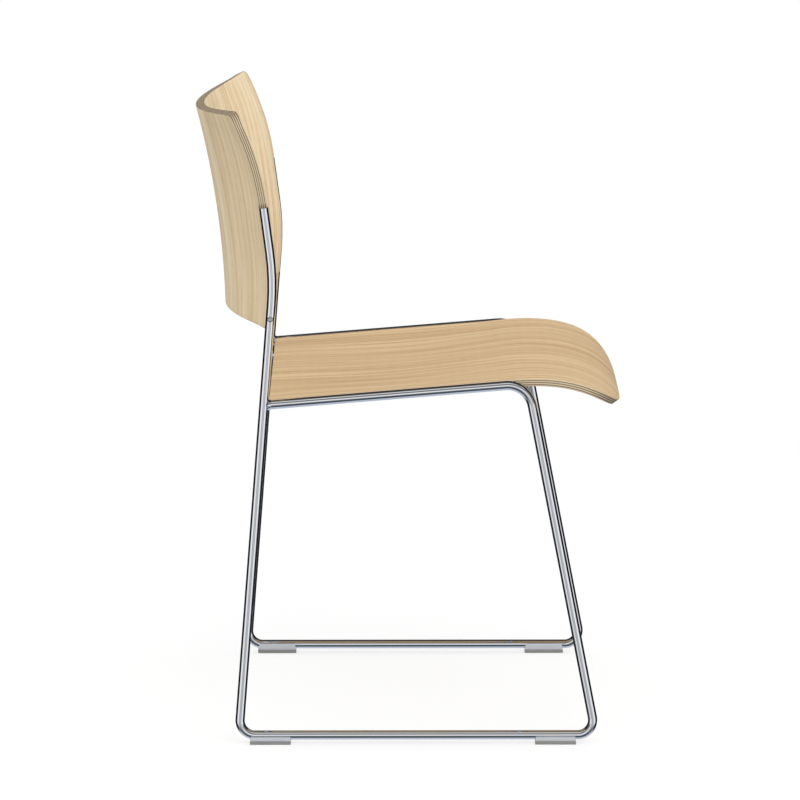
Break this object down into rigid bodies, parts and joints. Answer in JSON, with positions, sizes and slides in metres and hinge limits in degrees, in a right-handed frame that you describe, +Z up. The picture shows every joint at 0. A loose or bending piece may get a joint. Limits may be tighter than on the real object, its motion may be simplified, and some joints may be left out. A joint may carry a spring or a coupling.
{
  "type": "stacking chair",
  "caption": "Stacking chair with bent chromed rod side frames, a moulded plywood seat with a waterfall front and a curved plywood back",
  "frame": {"origin": "Middle of the chair's outline seen from above, on the floor", "axes": "+X is the way the sitter faces, +Y is the sitter's left, +Z is up"},
  "size_m": [0.5138, 0.5062, 0.7542],
  "materials": {
    "chrome": "polished chrome plate on solid steel rod",
    "seat_oak": "moulded plywood, oak face veneer, satin clear lacquer",
    "back_oak": "moulded plywood, oak face veneer, satin clear lacquer",
    "zinc": "bright zinc plate",
    "brass": "plain turned",
    "clear_plastic": "clear moulded plastic, faintly blue",
    "grey_plastic": "moulded grey plastic"
  },
  "bodies": {
    "root": {"seat_shell": "seat_oak", "back_shell": "back_oak", "front_cross_rod": "chrome", "rear_cross_rod": "chrome", "side_frame_right": "chrome", "glide_saddle_rear_right": "clear_plastic", "glide_sole_rear_right": "grey_plastic", "glide_saddle_front_right": "clear_plastic", "glide_sole_front_right": "grey_plastic", "back_screw_right": "zinc", "back_insert_right": "brass", "back_pin_right": "zinc", "seat_tab_front_right": "chrome", "seat_screw_front_right": "zinc", "seat_insert_front_right": "brass", "seat_tab_rear_right": "chrome", "seat_screw_rear_right": "zinc", "seat_insert_rear_right": "brass", "side_frame_left": "chrome", "glide_saddle_rear_left": "clear_plastic", "glide_sole_rear_left": "grey_plastic", "glide_saddle_front_left": "clear_plastic", "glide_sole_front_left": "grey_plastic", "back_screw_left": "zinc", "back_insert_left": "brass", "back_pin_left": "zinc", "seat_tab_front_left": "chrome", "seat_screw_front_left": "zinc", "seat_insert_front_left": "brass", "seat_tab_rear_left": "chrome", "seat_screw_rear_left": "zinc", "seat_insert_rear_left": "brass"}
  },
  "joints": []
}
